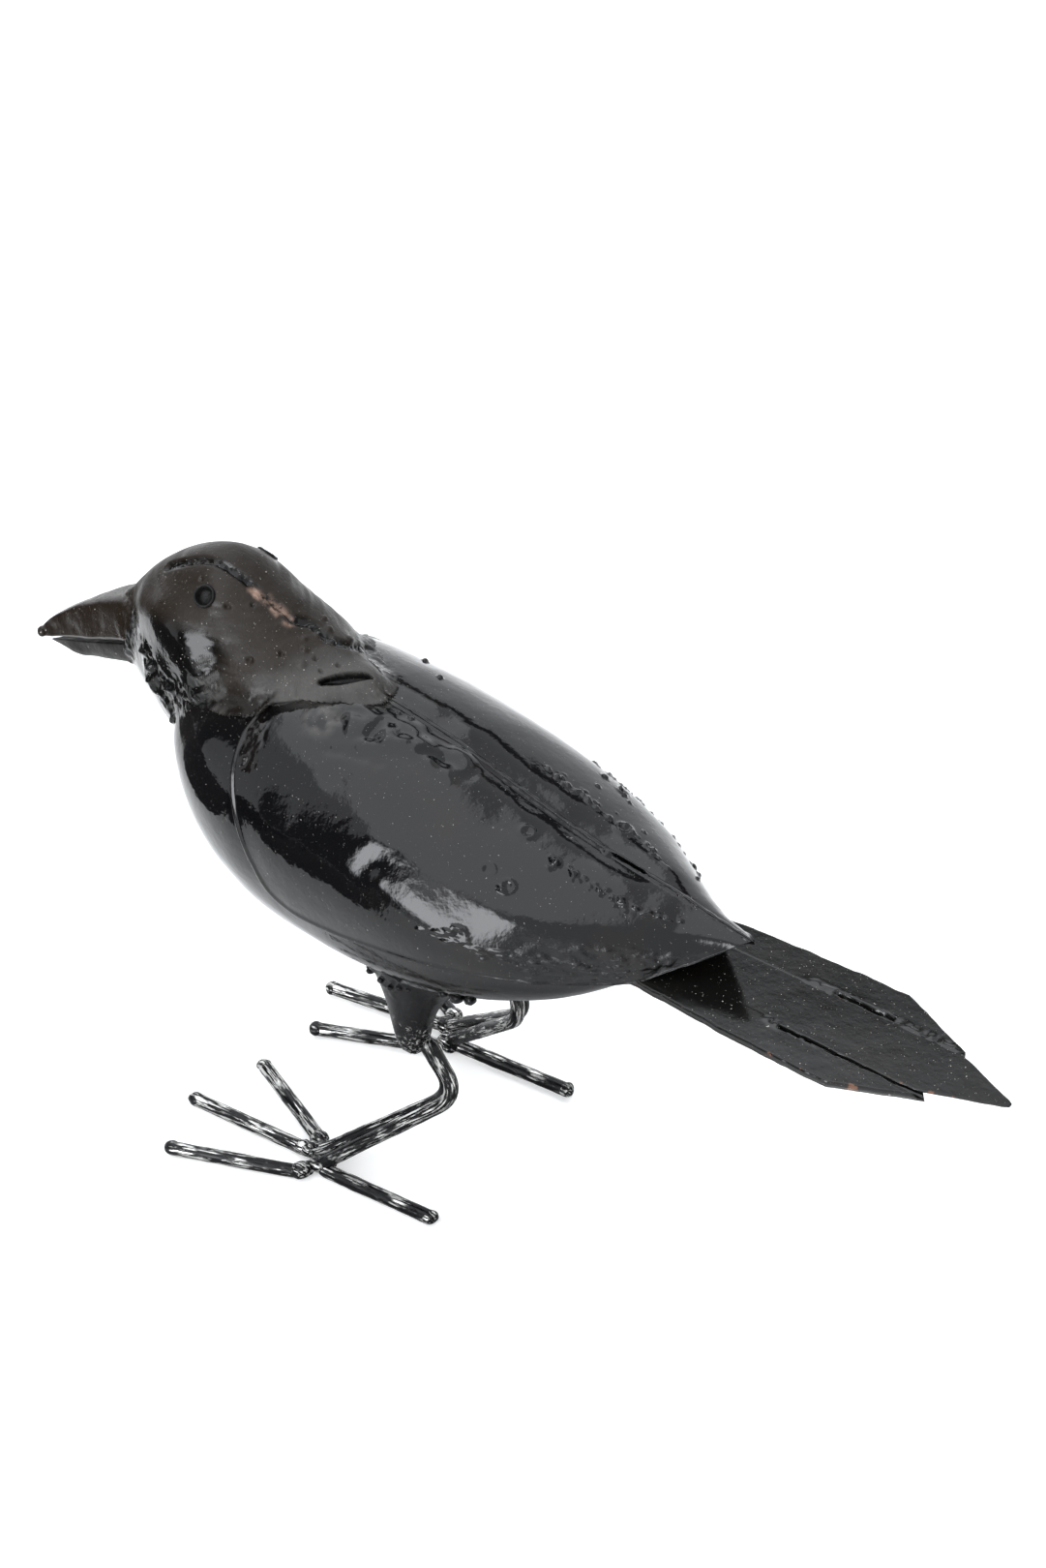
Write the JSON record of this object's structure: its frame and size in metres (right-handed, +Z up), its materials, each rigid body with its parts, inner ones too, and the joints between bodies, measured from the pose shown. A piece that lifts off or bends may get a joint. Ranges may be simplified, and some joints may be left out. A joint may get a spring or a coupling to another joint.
{
  "type": "metal crow sculpture",
  "caption": "Standing crow welded from hammered sheet steel, with folded-back wings, a flat cut sheet tail and bent round rod legs, painted gloss black.",
  "frame": {"origin": "on the ground, under the middle of the bird's length and width", "axes": "-X the way the bird faces, +X towards the tail tip, -Y its left side, +Z up"},
  "size_m": [0.456, 0.1575, 0.245],
  "materials": {
    "gloss_black": "very glossy black enamel with dust and small runs",
    "brown_black": "glossy brown-black enamel over weld marks",
    "satin_black": "satin black enamel, rust showing at the corners",
    "silvered_black": "black enamel dry-brushed with silver, rough",
    "speckled_black": "satin dark grey-black, speckled with silver at the hem"
  },
  "bodies": {
    "root": {"body": "gloss_black", "left_wing": "gloss_black", "right_wing": "gloss_black", "head": "brown_black", "upper_beak": "brown_black", "lower_beak": "brown_black", "left_eye": "brown_black", "right_eye": "brown_black", "left_tail_feather": "satin_black", "right_tail_feather": "satin_black", "middle_tail_feather": "satin_black", "left_leg_front_rod": "silvered_black", "left_leg_rear_rod": "silvered_black", "left_inner_toe": "silvered_black", "left_outer_toe": "silvered_black", "left_thigh": "speckled_black", "right_leg_front_rod": "silvered_black", "right_leg_rear_rod": "silvered_black", "right_inner_toe": "silvered_black", "right_outer_toe": "silvered_black", "right_thigh": "speckled_black"}
  },
  "joints": []
}
